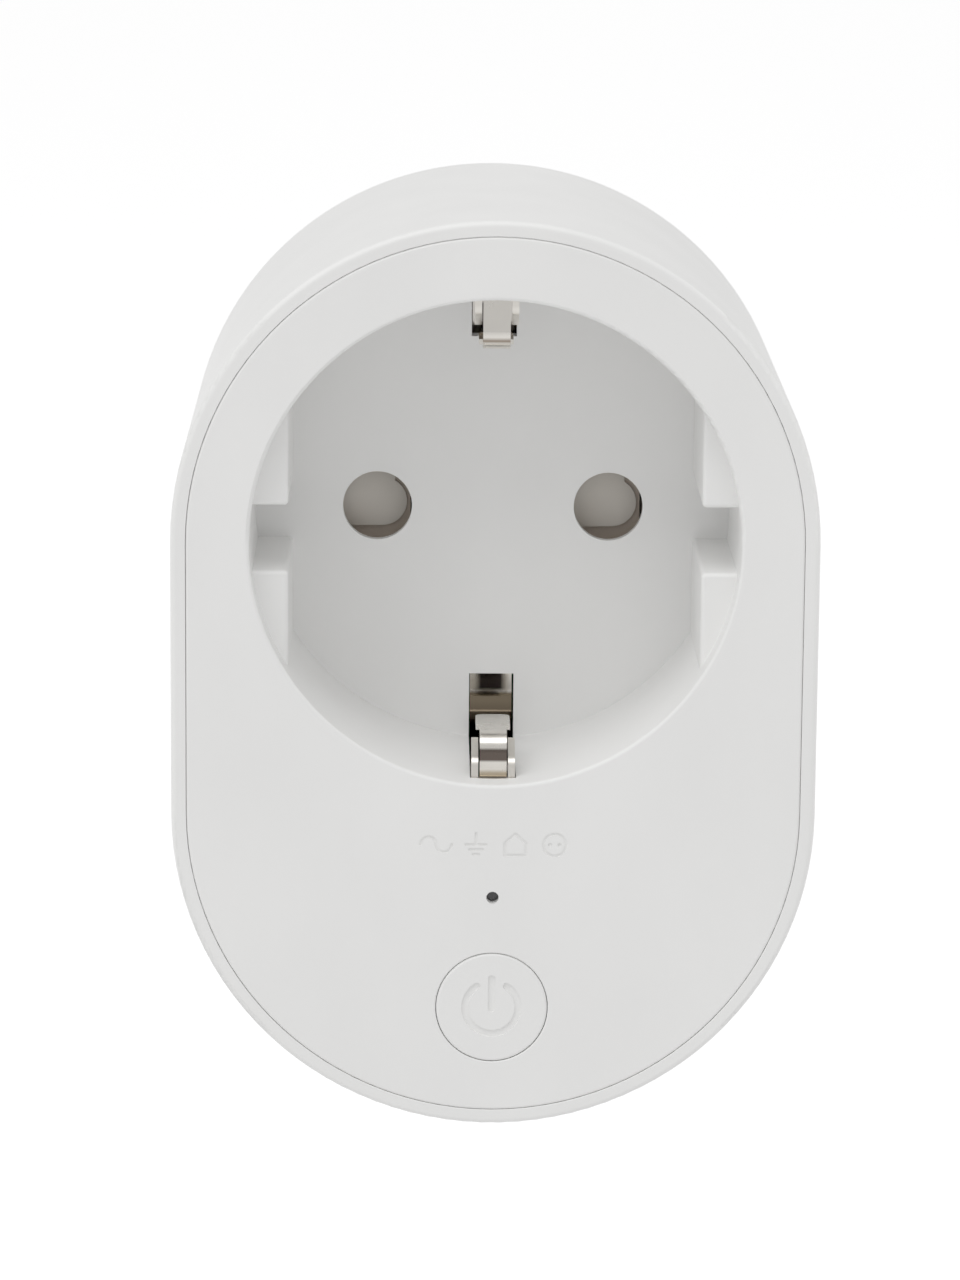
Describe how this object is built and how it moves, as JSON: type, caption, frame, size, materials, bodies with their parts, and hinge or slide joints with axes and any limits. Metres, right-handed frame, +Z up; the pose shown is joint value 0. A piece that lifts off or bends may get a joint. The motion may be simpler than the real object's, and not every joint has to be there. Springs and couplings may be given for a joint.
{
  "type": "smart plug",
  "caption": "Earthed smart plug adapter: a racetrack-shaped body with a recessed round socket and a push button in front, and a round two-pin earthed plug behind.",
  "frame": {"origin": "middle of the plug's seating face, between its two pins", "axes": "+Y into the wall along the pins, +Z up with the button below the socket, +X to the right seen from the front"},
  "size_m": [0.0516, 0.0775, 0.0733],
  "materials": {
    "white_casing": "fine satin moulded surface",
    "white_button": "fine satin moulded surface",
    "grey_shutter_plastic": "satin moulded surface",
    "black_plastic": "satin moulded surface",
    "smoked_light_pipe": "clear smoked, polished",
    "bright_nickel": "bright nickel plate over stamped bronze",
    "pin_nickel": "turned, nickel plated brass",
    "contact_bronze": "stamped phosphor bronze",
    "zinc_steel": "bright zinc plate",
    "spring_steel": "drawn wire",
    "green_board": "solder mask",
    "tin_plate": "tin plate",
    "gold_trace": "gold flash",
    "copper_winding": "enamelled wire",
    "dark_ferrite": "sintered",
    "relay_blue": "moulded",
    "capacitor_yellow": "moulded",
    "capacitor_sleeve": "printed sleeve over aluminium can",
    "varistor_blue": "dipped epoxy",
    "fuse_ceramic": "ceramic body with metal caps",
    "diode_white": "moulded lens"
  },
  "bodies": {
    "casing": {"rear_shell": "white_casing", "front_panel": "white_casing", "case_screws": "zinc_steel", "button_spring": "spring_steel", "tact_switch_body": "black_plastic", "light_pipe": "smoked_light_pipe", "status_led": "diode_white", "control_board": "green_board", "control_board_screws": "zinc_steel", "wifi_module": "green_board", "wifi_shield": "tin_plate", "antenna_trace": "gold_trace", "header_block": "black_plastic", "header_pins": "gold_trace", "main_board": "green_board", "main_board_screws": "zinc_steel", "relay_base": "black_plastic", "relay_cover": "relay_blue", "relay_bobbin": "fuse_ceramic", "relay_coil": "copper_winding", "relay_yoke": "zinc_steel", "relay_fixed_contact": "contact_bronze", "relay_pins": "tin_plate", "mains_fuse": "fuse_ceramic", "varistor": "varistor_blue", "film_capacitor": "capacitor_yellow", "electrolytic_capacitor": "capacitor_sleeve", "transformer_core": "dark_ferrite", "transformer_winding": "copper_winding", "filter_inductor": "dark_ferrite", "shutter_spring": "spring_steel", "shutter_housing": "black_plastic", "contact_carrier": "black_plastic", "carrier_screws": "zinc_steel", "live_socket_contact": "contact_bronze", "neutral_socket_contact": "contact_bronze", "earth_strap": "bright_nickel", "earth_link": "contact_bronze", "plug_earth_strap": "bright_nickel", "earth_pin_sleeve": "contact_bronze", "live_plug_pin": "pin_nickel", "neutral_plug_pin": "pin_nickel", "pin_retainer": "black_plastic", "retainer_screw": "zinc_steel", "live_busbar": "contact_bronze", "neutral_busbar": "contact_bronze"},
    "button": {"power_button": "white_button"},
    "switch_plunger": {"tact_switch_plunger": "black_plastic"},
    "shutter_slider": {"shutter": "grey_shutter_plastic"},
    "top_earth_tongue": {"earth_tongue_top": "bright_nickel"},
    "bottom_earth_tongue": {"earth_tongue_bottom": "bright_nickel"},
    "relay_clapper": {"relay_armature": "zinc_steel"}
  },
  "joints": [
    {"name": "button_press", "type": "slide", "parent": "casing", "child": "button", "axis": [0, 1, 0], "range_m": [0, 0.0005], "stiffness_N_per_m": 1500, "springref_m": -0.0006, "deforming": ["button_spring"]},
    {"name": "plunger_press", "type": "slide", "parent": "casing", "child": "switch_plunger", "axis": [0, 1, 0], "range_m": [0, 0.00035]},
    {"name": "shutter_slide", "type": "slide", "parent": "casing", "child": "shutter_slider", "axis": [-1, 0, 0], "range_m": [0, 0.0052], "stiffness_N_per_m": 120, "springref_m": -0.004, "deforming": ["shutter_spring"]},
    {"name": "top_tongue_flex", "type": "hinge", "parent": "casing", "child": "top_earth_tongue", "pos_m": [0, -0.05555, 0.01925], "axis": [1, 0, 0], "range_deg": [0, 12], "stiffness_Nm_per_rad": 0.1, "springref_deg": -2.86},
    {"name": "bottom_tongue_flex", "type": "hinge", "parent": "casing", "child": "bottom_earth_tongue", "pos_m": [0, -0.05555, -0.01925], "axis": [-1, 0, 0], "range_deg": [0, 12], "stiffness_Nm_per_rad": 0.1, "springref_deg": -2.86},
    {"name": "relay_clapper_swing", "type": "hinge", "parent": "casing", "child": "relay_clapper", "pos_m": [0, -0.0389, -0.03325], "axis": [0, 0, 1], "range_deg": [0, 2.6], "stiffness_Nm_per_rad": 0.05, "springref_deg": -5.73}
  ],
  "couplings": [
    {"joint": "plunger_press", "follows": "button_press", "ratio": 0.6}
  ]
}
